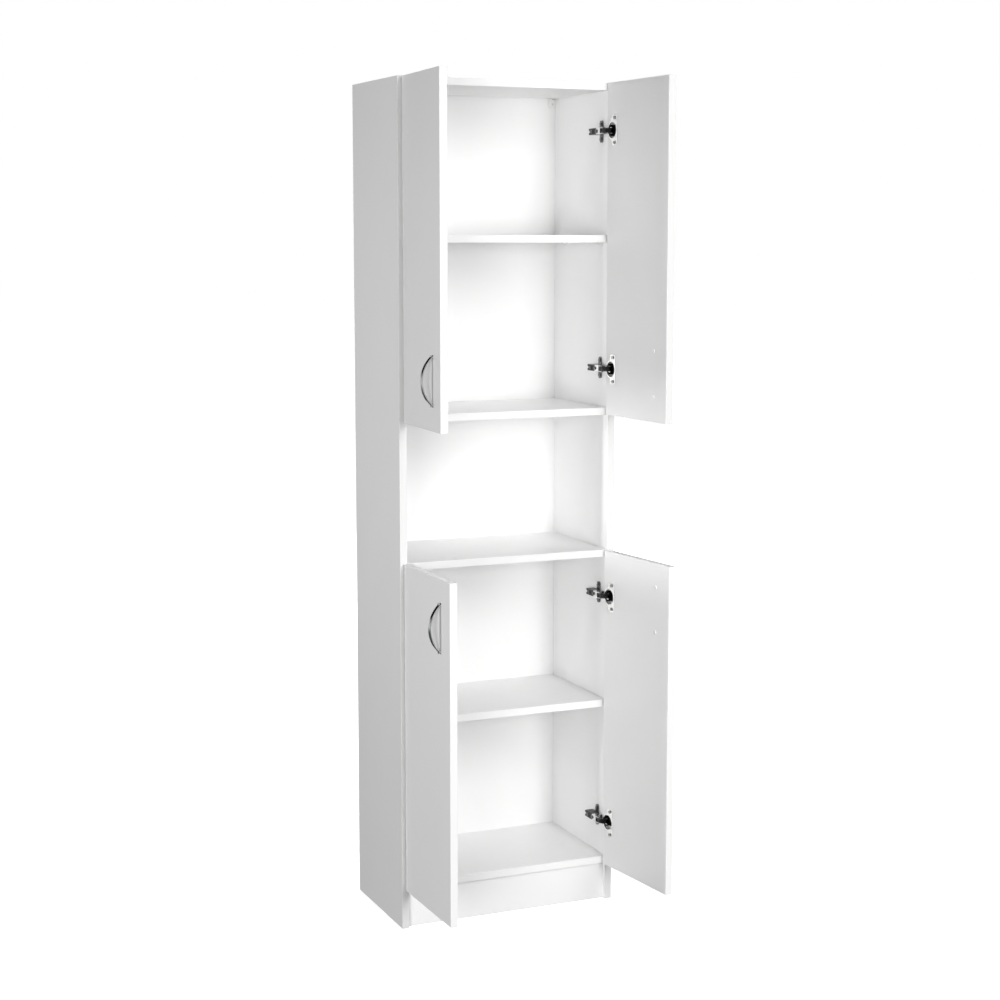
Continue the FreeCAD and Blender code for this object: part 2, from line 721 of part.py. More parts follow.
# Hinge arm: a folded channel over the rail of the mounting plate
arm = new_body("hinge_arm_master")
outline = sketch_on(arm, "XY_Plane", "0 - lug_inside - arm_thick")
rectangle(outline, "arm_top - arm_thick", "arm_roof_start", "arm_thick", "arm_length - arm_roof_start")
pad(arm, outline, "2 * lug_inside + 2 * arm_thick")
for lift in ("lug_inside", "0 - lug_inside - arm_thick"):
    outline = sketch_on(arm, "XY_Plane", lift)
    polygon(
        outline,
        [
            ("arm_pivot_x - arm_nose / 2", "0 - arm_pivot_front"),
            ("arm_pivot_x - arm_nose / 4", "0 - arm_pivot_front - arm_nose / 2"),
            ("arm_pivot_x + arm_nose / 4", "0 - arm_pivot_front - arm_nose / 2"),
            ("arm_pivot_x + arm_nose / 2", "0 - arm_pivot_front"),
            ("arm_top", "arm_roof_start"),
            ("arm_top", "arm_length"),
            ("board + plate_thick + layer_gap", "arm_length"),
            ("board + plate_thick + layer_gap", "plate_front"),
            ("arm_pivot_x - arm_nose / 2", "plate_front / 2"),
        ],
    )
    folded = pad(arm, outline, "arm_thick")
fillet(
    arm,
    folded,
    "arm_round",
    lambda e: along(e, Y_AXIS) and abs(e.CenterOfMass.x - val("arm_top")) < 1e-6,
)
drill(
    arm,
    "XY_Plane",
    "0 - lug_inside - arm_thick",
    [("arm_pivot_x", "0 - arm_pivot_front", PIN_HOLE)],
    "2 * lug_inside + 2 * arm_thick",
    reverse=True,
)
drill(arm, "YZ_Plane", "arm_top", [("adjust_screw_front", "0", "arm_slot")], "arm_thick")
slot = sketch_on(arm, "YZ_Plane", "arm_top")
rectangle(
    slot,
    "adjust_screw_rear - arm_slot / 2",
    "0 - arm_slot / 2",
    "arm_length - adjust_screw_rear + arm_slot / 2",
    "arm_slot",
)
pocket(arm, slot, "arm_thick")

# Mounting plate: two screwed wings and the rail under the arm
plate = new_body("hinge_plate_master")
outline = sketch_on(plate, "YZ_Plane", "board")
rectangle(
    outline,
    "plate_setback - plate_wing_width / 2",
    "0 - plate_wing / 2",
    "plate_wing_width",
    "plate_wing",
)
wings = pad(plate, outline, "plate_thick")
fillet(plate, wings, "plate_wing_width / 2.2", lambda e: along(e, X_AXIS))
outline = sketch_on(plate, "YZ_Plane", "board")
rectangle(outline, "plate_front", "0 - lug_inside + layer_gap", "arm_length - plate_front", "2 * link_half")
pad(plate, outline, "arm_top - arm_thick - board")
wing_holes = []
for side in HINGE_SIDES:
    wing_holes.append(("plate_setback", f"{side} plate_pitch / 2", "plate_screw_diameter + screw_clearance"))
drill(plate, "YZ_Plane", "board + plate_thick", wing_holes, "plate_thick")
rail_holes = []
for place in ("adjust_screw_front", "adjust_screw_rear"):
    rail_holes.append((place, "0", "adjust_screw_diameter + screw_clearance"))
drill(plate, "YZ_Plane", "arm_top - arm_thick", rail_holes, "adjust_screw_depth + screw_clearance")


def headed_screw(name, role, seat, places, shank, shank_length, head, head_up):
    """Screws that pass through one seat, with flat heads on top of it."""
    body = new_body(name)
    body.AllowCompound = True
    for x, y in places:
        sketch = sketch_on(body, role, seat)
        circle(sketch, x, y, head)
        pad(body, sketch, "screw_head_height", reverse=not head_up)
        sketch = sketch_on(body, role, seat)
        circle(sketch, x, y, shank)
        pad(body, sketch, shank_length, reverse=head_up)
        crown = f"{seat} + screw_head_height" if head_up else f"{seat} - screw_head_height"
        cross_recess(body, role, crown, x, y, head, not head_up)
    return body


# Screws and pivot pins of one hinge
plate_screw = headed_screw(
    "plate_screw_master",
    "YZ_Plane",
    "board + plate_thick",
    [("plate_setback", f"{side} plate_pitch / 2") for side in HINGE_SIDES],
    "plate_screw_diameter",
    "plate_thick + plate_screw_length",
    "plate_screw_head",
    True,
)
arm_screw = headed_screw(
    "arm_screw_master",
    "YZ_Plane",
    "arm_top",
    [("adjust_screw_front", "0"), ("adjust_screw_rear", "0")],
    "adjust_screw_diameter",
    "arm_thick + adjust_screw_depth",
    "adjust_screw_head",
    True,
)
cup_screw = headed_screw(
    "cup_screw_master",
    "XZ_Plane",
    "door_gap - flange_thick",
    [("cup_x + cup_screw_offset", f"{side} cup_screw_pitch / 2") for side in HINGE_SIDES],
    "cup_screw_diameter",
    "flange_thick + cup_screw_length",
    "cup_screw_head",
    False,
)


def pivot_pin(name, x, y):
    body = new_body(name)
    sketch = sketch_on(body, "XY_Plane", "0 - lug_inside - arm_thick")
    circle(sketch, x, y, "pin_diameter")
    pad(body, sketch, "2 * lug_inside + 2 * arm_thick")
    return body


arm_pin = pivot_pin("arm_pin_master", "arm_pivot_x", "0 - arm_pivot_front")
cup_pin = pivot_pin("cup_pin_master", "cup_pivot_x", "cup_pivot_y")

# Bow handle, turned about the centre of its bow and cut flat where it meets the door
FACE = "handle_radius - handle_reach + handle_thick / 2"
handle = new_body("handle_master")
outline = sketch_on(handle, "XY_Plane")
rectangle(
    outline,
    "0 - handle_width / 2",
    "0 - handle_radius - handle_thick / 2",
    "handle_width",
    "handle_thick",
)
bow = handle.newObject("PartDesign::Revolution", "handle_bow")
bow.Profile = outline
bow.ReferenceAxis = (outline, ["H_Axis"])
bow.Midplane = True
bow.setExpression("Angle", ex("2 * asin(handle_half_chord / handle_radius) + 8 deg"))
doc.recompute()
fillet(handle, bow, "handle_thick * 0.4", lambda e: isinstance(e.Curve, Part.Circle))
outline = sketch_on(handle, "XZ_Plane", FACE)
for side in HINGE_SIDES:
    circle(outline, "0", f"{side} handle_pitch / 2", "handle_post")
pad(handle, outline, "handle_post_height")
outline = sketch_on(handle, "XZ_Plane", FACE)
rectangle(
    outline,
    "0 - handle_width",
    "0 - handle_half_chord * 1.5",
    "2 * handle_width",
    "handle_half_chord * 3",
)
pocket(handle, outline, "handle_radius")
post_holes = []
for side in HINGE_SIDES:
    post_holes.append(("0", f"{side} handle_pitch / 2", "handle_screw_diameter + screw_clearance"))
drill(handle, "XZ_Plane", FACE, post_holes, "handle_screw_grip + screw_clearance", reverse=True)

handle_screw = headed_screw(
    "handle_screw_master",
    "XZ_Plane",
    "door_gap",
    [("handle_x", f"{side} handle_pitch / 2") for side in HINGE_SIDES],
    "handle_screw_diameter",
    "door_board + handle_screw_grip",
    "handle_screw_head",
    False,
)

# Doors, bored for their cups and handles, each standing open at its own angle


def door_panel(label, handle_side):
    body = new_body(label)
    sketch = sketch_on(body, "XZ_Plane", "door_gap")
    rectangle(sketch, "door_reveal", "0 - door_height / 2", "door_width", "door_height")
    slab = pad(body, sketch, "door_board")
    fillet(body, slab, "door_round", lambda e: True)
    cups = []
    screws = []
    grips = []
    for hinge in HINGE_SIDES:
        cups.append(("cup_x", f"{hinge} hinge_z", "cup_diameter + cup_fit"))
        for side in HINGE_SIDES:
            height = f"({hinge} hinge_z) + ({side} cup_screw_pitch / 2)"
            screws.append(("cup_x + cup_screw_offset", height, "cup_screw_diameter + screw_clearance"))
    for side in HINGE_SIDES:
        height = f"({handle_side} handle_z) + ({side} handle_pitch / 2)"
        grips.append(("handle_x", height, "handle_screw_diameter + screw_clearance"))
    drill(body, "XZ_Plane", "door_gap", cups, "cup_depth + cup_fit", reverse=True)
    drill(body, "XZ_Plane", "door_gap", screws, "cup_screw_length + screw_clearance", reverse=True)
    drill(body, "XZ_Plane", "door_gap", grips, "door_board", reverse=True)
    return body


def swing_about(x, y, angle):
    return shift(x, y) * turn(Z_AXIS, angle) * shift(-x, -y)


DOORS = [
    ("upper_left", "upper", "0 - "),
    ("upper_right", "upper", "0 + "),
    ("lower_left", "lower", "0 + "),
    ("lower_right", "lower", "0 - "),
]
plate_places = []
for name, section, handle_side in DOORS:
    level = val(SECTION_MIDDLES[section])
    edge = val("overall_width / 2")
    if name.endswith("left"):
        frame = shift(-edge, val("front_y"), level)
    else:
        frame = shift(edge, val("front_y"), level) * turn(Y_AXIS, 180)
    opened = val(f"{name}_open_angle")
    link_turn = val("link_swing_ratio") * opened
    on_link = frame * swing_about(val("arm_pivot_x"), -val("arm_pivot_front"), link_turn)
    on_door = on_link * swing_about(val("cup_pivot_x"), val("cup_pivot_y"), -opened - link_turn)
    pair = [shift(z=val(f"{hinge} hinge_z")) for hinge in HINGE_SIDES]
    grip = shift(z=val(f"{handle_side} handle_z"))
    bow_place = shift(val("handle_x"), val(f"{FACE} - door_gap - door_board"), 0)
    plate_places += [frame * place for place in pair]
    keep(door_panel(f"{name}_door", handle_side), f"{name}_door", on_door)
    copies(f"{name}_handle", handle, [on_door * grip * bow_place])
    copies(f"{name}_handle_screws", handle_screw, [on_door * grip])
    copies(f"{name}_hinge_cups", cup, [on_door * place for place in pair])
    copies(f"{name}_cup_screws", cup_screw, [on_door * place for place in pair])
    copies(f"{name}_cup_pins", cup_pin, [on_door * place for place in pair])
    copies(f"{name}_hinge_links", link, [on_link * place for place in pair])
copies("hinge_plates", plate, plate_places)
copies("hinge_arms", arm, plate_places)
copies("plate_screws", plate_screw, plate_places)
copies("arm_screws", arm_screw, plate_places)
copies("arm_pins", arm_pin, plate_places)

doc.recompute()
for thing in doc.Objects:
    if "Invalid" in thing.State or "Error" in thing.State:
        raise ValueError(f"{thing.Name} did not build: {thing.State}")
for thing in nodes:
    if thing.Shape.isNull() or not thing.Shape.isValid() or not thing.Shape.Solids:
        raise ValueError(f"{thing.Label} has no sound solid")
os.makedirs("parts", exist_ok=True)
for thing in nodes:
    thing.Shape.exportStep(f"parts/{thing.Label}.step")
print(f"{len(nodes)} nodes, {sum(len(thing.Shape.Solids) for thing in nodes)} solids")
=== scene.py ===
"""Tall white bathroom cabinet: finishes, soft light and the photograph's viewpoint."""
import math

import bpy
from mathutils import Matrix, Vector


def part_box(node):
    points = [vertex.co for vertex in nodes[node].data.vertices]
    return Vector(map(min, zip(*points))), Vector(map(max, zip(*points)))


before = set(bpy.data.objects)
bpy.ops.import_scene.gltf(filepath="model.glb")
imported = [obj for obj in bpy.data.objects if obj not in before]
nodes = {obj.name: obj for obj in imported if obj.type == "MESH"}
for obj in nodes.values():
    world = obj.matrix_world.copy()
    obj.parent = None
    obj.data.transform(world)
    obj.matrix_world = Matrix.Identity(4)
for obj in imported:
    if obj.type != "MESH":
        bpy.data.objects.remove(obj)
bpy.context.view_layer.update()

# Lengths are in metres. Tones run from 0 for black to 1 for white.

FIXED_BOARDS = (
    "left_side_panel",
    "right_side_panel",
    "top_panel",
    "upper_floor_panel",
    "niche_floor_panel",
    "bottom_panel",
    "upper_shelf",
    "lower_shelf",
    "kickboard",
)
DOORS = ("upper_left", "upper_right", "lower_left", "lower_right")
# How far each door stands open, in degrees
OPEN_ANGLES = {"upper_left": 93.8, "upper_right": 93.4, "lower_left": 89.3, "lower_right": 96.5}

# How white the boards are; those that differ from the usual carry painted light and shade, the
# same white melamine made darker or lighter for how light falls on each
USUAL_TONE = 0.96
PAINTED_BOARD_TONES = {
    "left_side_panel": 0.865,
    "right_side_panel": 0.94,
    "kickboard": 0.81,
    "niche_floor_panel": 0.89,
    "upper_left_door": 0.875,
    "upper_right_door": 0.865,
    "lower_left_door": 0.925,
    "lower_right_door": 0.98,
}
# Outside faces with painted shade, greyer than the rest of their board: tone, axis, and way along
# that axis
SHADED_OUTSIDES = {
    "left_side_panel": (0.71, "X", -1),
    "right_side_panel": (0.78, "X", 1),
    "upper_left_door": (0.7, "Y", -1),
    "upper_right_door": (0.7, "Y", -1),
    "lower_left_door": (0.745, "Y", -1),
    "lower_right_door": (0.745, "Y", -1),
}
# How white the edge band is beside the board's faces: partly the band's own greyer colour, partly
# painted shade for how light falls on the edges
EDGE_BAND_AND_SHADE = 0.85
# The hairline joint of the edge band: how far in from the edge, and half its width
SEAM_INSET, SEAM_HALF = 0.0009, 0.00012
# How far in from an edge the corner is rubbed
ARRIS = 0.0012
# Gloss of the boards; under about 0.274 the denoiser takes a face for a mirror and leaves specks
BOARD_GLOSS = (0.29, 0.36)
# How deep a point may lie and still be on a face: wholly, and at all
FACE_SKIN = (0.0001, 0.0003)
BACK_SKIN = (0.0002, 0.0004)
# Pitch of the mesh pressed into the wall side of the back
MESH_PITCH = 0.0022

# Between these two places, front to back, the hinge arms turn from bright to black as painted
# shade
ARM_SHADE_FADE = (0.004, 0.007)
# Half the height of a cup's flange
FLANGE_HALF = 0.032
# Between these depths a cup turns black with painted shade, out to between these distances from
# its middle height
CUP_SHADE_DEPTHS = (0.0022, 0.0036)
CUP_SHADE_REACH = (0.011, 0.013)

FLOOR_SIZE, FLOOR_DROP = 60.0, 0.0005
# The floor glows from the first level near the cabinet to the second, between these distances
FLOOR_GLOW = (0.55, 1.0)
FLOOR_FADE = (0.4, 2.2)
TENT_LEVEL = 0.1
# How bright a mirrored direction is, by its height from straight down (-1) to straight up (1)
FLAGS = ((-0.6, 0.03), (-0.26, 0.1), (-0.14, 0.6), (0.02, 0.6), (0.12, 0.005), (1.0, 0.005))
CABINET_MIDDLE = (0.0, 0.0, 0.9)
# Name, place, point it is aimed at, width, height and watts of each lamp
SOFT_BOXES = (
    ("high_box", (0.9, -4.8, 3.3), CABINET_MIDDLE, 2.4, 2.0, 114),
    ("front_box", (0.3, -5.0, 1.4), CABINET_MIDDLE, 1.4, 1.4, 127),
    ("slant_box", (-3.1, -3.9, 1.0), CABINET_MIDDLE, 1.8, 2.0, 112),
    ("left_strip", (-5.0, -0.25, 0.8), (0.0, -0.25, 0.8), 0.2, 1.8, 111),
    ("right_box", (5.0, 0.4, 1.4), CABINET_MIDDLE, 1.0, 1.6, 125),
    ("rear_box", (1.4, 5.0, 2.0), CABINET_MIDDLE, 2.0, 2.0, 150),
    ("overhead_box", (0.0, 0.5, 4.8), (0.0, 0.12, 1.8), 1.2, 1.2, 75),
)
VIEWPOINT = Vector((-1.65327, -3.78193, 1.47446))
YAW, PITCH = math.radians(23.43), math.radians(7.15)
# Sensor width and focal length in millimetres, and the view's upward shift in picture widths
SENSOR, LENS, LENS_SHIFT = 36.0, 69.82, -0.02
# How far the camera sees
SIGHT = 200.0


# Shader building


def fill_ramp(node, stops):
    """Give a colour ramp its stops of position and colour."""
    elements = node.color_ramp.elements
    while len(elements) < len(stops):
        elements.new(0.5)
    for element, (position, colour) in zip(elements, stops):
        element.position = position
        element.color = (*colour, 1.0)


class Finish:
    """A material under construction: its nodes are added by kind and wired by name."""

    def __init__(self, name):
        self.material = bpy.data.materials.new(name)
        self.material.use_nodes = True
        self.tree = self.material.node_tree
        self.shader = self.tree.nodes["Principled BSDF"]

    def add(self, kind, **settings):
        """A new node, with each setting put on its socket or property of that name."""
        node = self.tree.nodes.new(kind)
        for key, value in settings.items():
            if key in node.inputs:
                node.inputs[key].default_value = value
            else:
                setattr(node, key, value)
        return node

    def join(self, source, target):
        self.tree.links.new(source, target)

    def feed(self, socket, value):
        """Set a plain value on a socket, or join another node's result to it."""
        if isinstance(value, (int, float, tuple)):
            socket.default_value = value
        else:
            self.join(value, socket)

    def place(self, centre=(0, 0, 0), turn=0.0, stretch=(1, 1, 1)):
        """The piece's own coordinates, moved to its centre and turned with it."""
        coords = self.add("ShaderNodeTexCoord")
        moved = self.add("ShaderNodeMapping", vector_type="TEXTURE")
        moved.inputs["Location"].default_value = centre
        moved.inputs["Rotation"].default_value = (0, 0, turn)
        self.join(coords.outputs["Object"], moved.inputs["Vector"])
        if tuple(stretch) == (1, 1, 1):
            return moved.outputs["Vector"]
        drawn = self.add("ShaderNodeMapping", vector_type="POINT", Scale=stretch)
        self.join(moved.outputs["Vector"], drawn.inputs["Vector"])
        return drawn.outputs["Vector"]

    def axes(self, where):
        """A place taken apart into X, Y and Z."""
        node = self.add("ShaderNodeSeparateXYZ")
        self.join(where, node.inputs["Vector"])
        return node.outputs

    def noise(self, where, size, detail=3.0, roughness=0.55):
        """Cloudy noise whose patches are about this many metres across."""
        node = self.add("ShaderNodeTexNoise", Scale=1.0 / size, Detail=detail, Roughness=roughness)
        self.join(where, node.inputs["Vector"])
        return node.outputs["Fac"]

    def spread(self, value, low, high, start=0.3, stop=0.7, smooth=False):
        """A value that runs from start to stop, stretched to run from low to high."""
        node = self.add("ShaderNodeMapRange", clamp=True)
        node.interpolation_type = "SMOOTHSTEP" if smooth else "LINEAR"
        node.inputs["From Min"].default_value = start
        node.inputs["From Max"].default_value = stop
        node.inputs["To Min"].default_value = low
        node.inputs["To Max"].default_value = high
        self.join(value, node.inputs["Value"])
        return node.outputs["Result"]

    def sums(self, operation, *terms):
        """Arithmetic on sockets and plain numbers."""
        node = self.add("ShaderNodeMath", operation=operation)
        for socket, value in zip(node.inputs, terms):
            self.feed(socket, value)
        return node.outputs["Value"]

    def blend(self, factor, first, second, mode="MIX"):
        """Two colours mixed by a factor; each is a socket or three numbers."""
        node = self.add("ShaderNodeMix", data_type="RGBA", blend_type=mode)
        self.join(factor, node.inputs["Factor"])
        for socket, colour in ((node.inputs[6], first), (node.inputs[7], second)):
            self.feed(socket, (*colour, 1.0) if isinstance(colour, tuple) else colour)
        return node.outputs[2]

    def ramp(self, value, *stops):
        """A value coloured by stops of position and colour."""
        node = self.add("ShaderNodeValToRGB")
        fill_ramp(node, stops)
        self.join(value, node.inputs["Fac"])
        return node.outputs["Color"]

    def bump(self, height, depth, strength=1.0, below=None):
        """Surface relief of this depth, over the relief below if there is one."""
        node = self.add("ShaderNodeBump", Strength=strength, Distance=depth)
        self.join(height, node.inputs["Height"])
        if below is not None:
            self.join(below, node.inputs["Normal"])
        return node.outputs["Normal"]

    def wire(self, **sockets):
        """Join results to the shader, or set a plain number on its own socket."""
        for name, value in sockets.items():
            self.feed(self.shader.inputs[name.replace("_", " ")], value)
        return self.material


def dress(node, material):
    """Give a piece its one finish."""
    piece = nodes[node]
    piece.data.materials.clear()
    piece.data.materials.append(material)


def middle_and_half(node):
    """Middle and half size of a piece that stands square to the frame."""
    low, high = (Vector(corner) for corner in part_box(node))
    return (low + high) / 2, (high - low) / 2


def door_turn(door):
    """How far a door is turned from closed, seen from above."""
    swing = math.radians(OPEN_ANGLES[door])
    return -swing if door.endswith("left") else swing


def turned_middle_and_half(node, turn):
    """Middle and half size of a piece on an open door, measured square to that door."""
    square = Matrix.Rotation(-turn, 3, "Z")
    corners = [square @ vertex.co for vertex in nodes[node].data.vertices]
    low = Vector([min(corner[axis] for corner in corners) for axis in range(3)])
    high = Vector([max(corner[axis] for corner in corners) for axis in range(3)])
    return square.inverted() @ ((low + high) / 2), (high - low) / 2


# White melamine board, with the fine pearl of its pressed face and the edge band's hairline joint


def face_distances(made, where, half):
    """How far a point lies inside each pair of a board's faces."""
    axes = made.axes(where)
    gaps = []
    for axis, reach in zip("XYZ", half):
        gaps.append(made.sums("SUBTRACT", reach, made.sums("ABSOLUTE", axes[axis])))
    return gaps


def edge_distance(made, gaps):
    """How far a point on a board's surface lies from the nearest edge of that face."""
    a, b, c = gaps
    least = made.sums("MINIMUM", a, b)
    most = made.sums("MAXIMUM", a, b)
    return made.sums("MAXIMUM", least, made.sums("MINIMUM", most, c))


def edging(made, gaps, half):
    """Where a board's narrow faces carry the edge band."""
    through = min(range(3), key=lambda axis: half[axis])
    first, second = (gap for axis, gap in enumerate(gaps) if axis != through)
    return made.spread(made.sums("MINIMUM", first, second), 1.0, 0.0, *FACE_SKIN)


def outside_face(made, where, half, axis, facing):
    """Where a board shows its outside: the face at one end of an axis."""
    reach = half["XYZ".index(axis)]
    outward = made.sums("MULTIPLY", made.axes(where)[axis], facing)
    return made.spread(outward, 0.0, 1.0, reach - FACE_SKIN[1], reach - FACE_SKIN[0])


def melamine(node, centre, half, turn=0.0):
    """White board, greyer on its edge bands partly as painted shade, and with painted shade on the
    outside faces of doors and sides.
    """
    made = Finish(f"melamine_{node}")
    # Painted light and shade: some boards take a darker or lighter tone for how light falls on
    # them
    tone = PAINTED_BOARD_TONES.get(node, USUAL_TONE)
    where = made.place(centre, turn)
    cloud = made.noise(where, 0.16, detail=2.0)
    fleck = made.noise(where, 0.0011, detail=2.0)
    pearl = made.noise(where, 0.00045, detail=1.0)
    rub = made.noise(where, 0.012, detail=4.0, roughness=0.65)
    colour = made.ramp(
        made.spread(cloud, 0.0, 1.0),
        (0.0, (tone - 0.010, tone - 0.009, tone - 0.010)),
        (1.0, (tone + 0.006, tone + 0.006, tone + 0.004)),
    )
    flecked = made.spread(fleck, 0.0, 0.3, 0.55, 0.8)
    colour = made.blend(flecked, colour, (tone - 0.02, tone - 0.02, tone - 0.022))
    # Painted shade: the outside face is darkened for how light falls on it
    if node in SHADED_OUTSIDES:
        painted_outside_tone, axis, facing = SHADED_OUTSIDES[node]
        shade = painted_outside_tone / tone
        outside = outside_face(made, where, half, axis, facing)
        colour = made.blend(outside, colour, (shade, shade, shade), "MULTIPLY")
    gaps = face_distances(made, where, half)
    rim = edge_distance(made, gaps)
    seam = made.sums("COMPARE", rim, SEAM_INSET, SEAM_HALF)
    colour = made.blend(made.sums("MULTIPLY", seam, 0.35), colour, (0.55, 0.54, 0.52))
    # Edge band colour: partly its own greyer colour, partly painted shade
    band = EDGE_BAND_AND_SHADE * tone
    colour = made.blend(edging(made, gaps, half), colour, (band, band, 0.995 * band))
    arris = made.spread(rim, 1.0, 0.0, 0.0, ARRIS, smooth=True)
    worn = made.sums("MULTIPLY", arris, made.spread(rub, 0.0, 0.16, 0.45, 0.7))
    colour = made.blend(worn, colour, (0.70, 0.69, 0.67))
    gloss = made.sums("ADD", made.spread(rub, *BOARD_GLOSS), made.sums("MULTIPLY", worn, 0.5))
    grain = made.bump(pearl, 0.00004, 0.35)
    ripple = made.bump(made.noise(where, 0.035, detail=1.0), 0.0006, 0.12, grain)
    groove = made.bump(made.sums("SUBTRACT", 1.0, seam), 0.00006, 0.6, ripple)
    return made.wire(Base_Color=colour, Roughness=gloss, Normal=groove, IOR=1.47)


for node in FIXED_BOARDS:
    dress(node, melamine(node, *middle_and_half(node)))

for door in DOORS:
    node, turn = f"{door}_door", door_turn(door)
    dress(node, melamine(node, *turned_middle_and_half(node, turn), turn))


# Thin hardboard back


def hardboard():
    """Smooth white face inside, raw brown with a pressed mesh on the wall side."""
    made = Finish("white_hardboard")
    centre, half = middle_and_half("back_panel")
    where = made.place(centre)
    axes = made.axes(where)
    rear = made.spread(axes["Y"], 0.0, 1.0, half.y - BACK_SKIN[1], half.y - BACK_SKIN[0])
    cloud = made.noise(where, 0.2, detail=2.0)
    white = made.ramp(
        made.spread(cloud, 0.0, 1.0),
        (0.0, (0.85, 0.85, 0.848)),
        (1.0, (0.865, 0.865, 0.862)),
    )
    drawn = made.place(centre, stretch=(1.0, 1.0, 0.3))
    fibre = made.noise(drawn, 0.0016, detail=5.0, roughness=0.7)
    raw = made.ramp(
        made.spread(fibre, 0.0, 1.0),
        (0.0, (0.42, 0.33, 0.24)),
        (0.5, (0.55, 0.46, 0.35)),
        (1.0, (0.66, 0.58, 0.47)),
    )
    blotch = made.noise(where, 0.09, detail=3.0)
    raw = made.blend(made.spread(blotch, 0.0, 0.5), raw, (0.46, 0.37, 0.27))
    threads = []
    for axis in "XZ":
        wave = made.sums("MULTIPLY", axes[axis], 2 * math.pi / MESH_PITCH)
        threads.append(made.sums("SINE", wave))
    mesh = made.sums("MULTIPLY", made.sums("MAXIMUM", *threads), rear)
    fine = made.bump(made.noise(where, 0.0005, detail=1.0), 0.00003, 0.4)
    pressed = made.bump(mesh, 0.00012, 0.5, fine)
    colour = made.blend(rear, white, raw)
    gloss = made.sums("ADD", made.spread(cloud, 0.36, 0.42), made.sums("MULTIPLY", rear, 0.35))
    return made.wire(Base_Color=colour, Roughness=gloss, Normal=pressed)


dress("back_panel", hardboard())


# Plated metals


def plated(name, dark, light, rough, streak, wear, stretch=(1, 1, 1), centre=(0, 0, 0), turn=0.0):
    """Bright metal with fine rubbed lines along the direction that is stretched."""
    made = Finish(name)
    along = made.place(centre, turn, stretch)
    where = made.place(centre, turn)
    lines = made.noise(along, streak, detail=4.0, roughness=0.6)
    smudge = made.noise(where, 0.006, detail=3.0)
    tint = made.ramp(made.spread(lines, 0.0, 1.0, 0.25, 0.75), (0.0, dark), (1.0, light))
    spot = made.spread(smudge, 0.0, wear, 0.55, 0.75)
    colour = made.blend(spot, tint, tuple(0.6 * part for part in dark))
    rubbed = made.spread(lines, rough * 0.7, rough * 1.3)
    gloss = made.sums("ADD", rubbed, made.sums("MULTIPLY", spot, 0.15))
    return made, made.bump(lines, 0.00002, 0.3), colour, gloss


def metal(*arguments, **settings):
    made, normal, colour, gloss = plated(*arguments, **settings)
    return made.wire(Base_Color=colour, Roughness=gloss, Normal=normal, Metallic=1.0)


chrome = metal(
    "handle_chrome", (0.66, 0.67, 0.69), (0.78, 0.79, 0.80),
    rough=0.07, streak=0.0006, wear=0.25, stretch=(1, 1, 0.05),
)
zinc = metal(
    "screw_zinc", (0.50, 0.50, 0.50), (0.68, 0.68, 0.67),
    rough=0.3, streak=0.0008, wear=0.5,
)
# Painted shade: the plate screws, arm screws and hinge plates are zinc and nickel coloured near
# black for the shade they show
shade_dark_zinc = metal(
    "plate_screw_zinc", (0.16, 0.16, 0.16), (0.26, 0.26, 0.26),
    rough=0.3, streak=0.0008, wear=0.4,
)
plate_nickel = metal(
    "plate_nickel", (0.13, 0.13, 0.128), (0.24, 0.24, 0.236),
    rough=0.24, streak=0.0007, wear=0.4, stretch=(1, 0.08, 1),
)
# Painted shade: the hinge links are steel coloured near black for the shade inside the hinge
link_steel = metal(
    "link_steel", (0.03, 0.03, 0.03), (0.08, 0.08, 0.08),
    rough=0.3, streak=0.0006, wear=0.4, stretch=(1, 1, 0.1),
)
pin_steel = metal(
    "pin_steel", (0.22, 0.22, 0.22), (0.36, 0.36, 0.36),
    rough=0.24, streak=0.0005, wear=0.3, stretch=(1, 1, 0.04),
)
die_cast = metal(
    "cam_zinc", (0.4, 0.4, 0.41), (0.56, 0.56, 0.57),
    rough=0.42, streak=0.0009, wear=0.5,
)


def arm_metal():
    """Bright pressed arm, with painted shade turning it black towards its tail."""
    made, normal, colour, gloss = plated(
        "arm_nickel", (0.70, 0.70, 0.69), (0.86, 0.86, 0.85),
        rough=0.2, streak=0.0007, wear=0.3, stretch=(1, 0.08, 1),
    )
    # Painted shade: the arm's tail is coloured near black
    tail = made.spread(made.axes(made.place())["Y"], 0.0, 1.0, *ARM_SHADE_FADE, smooth=True)
    shaded = made.blend(tail, colour, (0.03, 0.03, 0.031))
    gloss = made.sums("ADD", gloss, made.sums("MULTIPLY", tail, 0.12))
    return made.wire(Base_Color=shaded, Roughness=gloss, Normal=normal, Metallic=1.0)


def cup_metal(door):
    """Bright nickel flange outside, with painted shade turning it black down inside the cup."""
    turn = door_turn(door)
    centre, half = turned_middle_and_half(f"{door}_hinge_cups", turn)
    made, normal, colour, gloss = plated(
        f"cup_nickel_{door}", (0.92, 0.92, 0.91), (0.97, 0.97, 0.96),
        rough=0.1, streak=0.0007, wear=0.1, stretch=(1, 1, 0.1), centre=centre, turn=turn,
    )
    axes = made.axes(made.place(centre, turn))
    # Painted shade: deep inside the cup the nickel is coloured black and made less metallic
    deep = made.spread(made.sums("SUBTRACT", half.y, axes["Y"]), 0.0, 1.0, *CUP_SHADE_DEPTHS, smooth=True)
    height = made.sums("ABSOLUTE", axes["Z"])
    rise = made.sums("ABSOLUTE", made.sums("SUBTRACT", height, half.z - FLANGE_HALF))
    black = made.sums("MULTIPLY", deep, made.spread(rise, 1.0, 0.0, *CUP_SHADE_REACH, smooth=True))
    inside = made.blend(black, colour, (0.008, 0.008, 0.009))
    gloss = made.sums("ADD", gloss, made.sums("MULTIPLY", deep, 0.3))
    shine = made.sums("SUBTRACT", 1.0, made.sums("MULTIPLY", deep, 0.75))
    return made.wire(Base_Color=inside, Roughness=gloss, Normal=normal, Metallic=shine)


